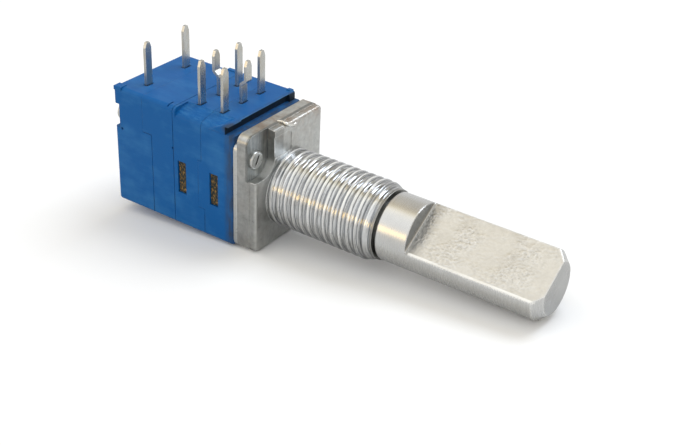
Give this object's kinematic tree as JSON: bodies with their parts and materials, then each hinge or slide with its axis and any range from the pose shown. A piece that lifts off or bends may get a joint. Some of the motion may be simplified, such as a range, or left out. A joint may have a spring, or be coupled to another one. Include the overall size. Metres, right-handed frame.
{
  "type": "potentiometer",
  "caption": "Dual-gang rotary potentiometer with a rotary switch, threaded bushing, flatted shaft and board pins on one side.",
  "frame": {"origin": "on the shaft's axis at the front face of the bushing plate, where the panel seats", "axes": "+X along the shaft towards its free end, +Z towards the board pins, +Y to the right seen from the shaft's end"},
  "size_m": [0.042, 0.0094, 0.0154],
  "materials": {
    "cast_zinc": "satin",
    "sheet_steel": "satin",
    "rivet_steel": "satin",
    "turned_steel": "satin",
    "tinned_brass": "satin",
    "spring_bronze": "satin",
    "blue_moulding": "satin",
    "phenolic": "matte",
    "carbon_ink": "matte",
    "silver_ink": "satin",
    "rotor_plastic": "matte",
    "washer_steel": "satin"
  },
  "bodies": {
    "case": {"bushing": "cast_zinc", "case_rivets": "rivet_steel", "front_collector_ring": "silver_ink", "front_eyelets": "tinned_brass", "front_housing": "blue_moulding", "front_resistive_track": "carbon_ink", "front_terminal_1": "tinned_brass", "front_terminal_2": "tinned_brass", "front_terminal_3": "tinned_brass", "front_wafer": "phenolic", "ground_plate": "sheet_steel", "mid_housing": "blue_moulding", "rear_collector_ring": "silver_ink", "rear_eyelets": "tinned_brass", "rear_housing": "blue_moulding", "rear_resistive_track": "carbon_ink", "rear_terminal_1": "tinned_brass", "rear_terminal_2": "tinned_brass", "rear_terminal_3": "tinned_brass", "rear_wafer": "phenolic", "switch_housing": "blue_moulding", "switch_terminal_1": "tinned_brass", "switch_terminal_2": "tinned_brass"},
    "shaft_set": {"shaft": "turned_steel", "retaining_clip": "sheet_steel", "front_rotor": "rotor_plastic", "rear_rotor": "rotor_plastic", "switch_rotor": "rotor_plastic", "front_wiper": "spring_bronze", "rear_wiper": "spring_bronze", "switch_bridge": "spring_bronze", "shaft_washer": "washer_steel"}
  },
  "joints": [
    {"name": "shaft_turn", "type": "hinge", "parent": "case", "child": "shaft_set", "pos_m": [0, 0, 0], "axis": [1, 0, 0], "range_deg": [0, 300]}
  ]
}
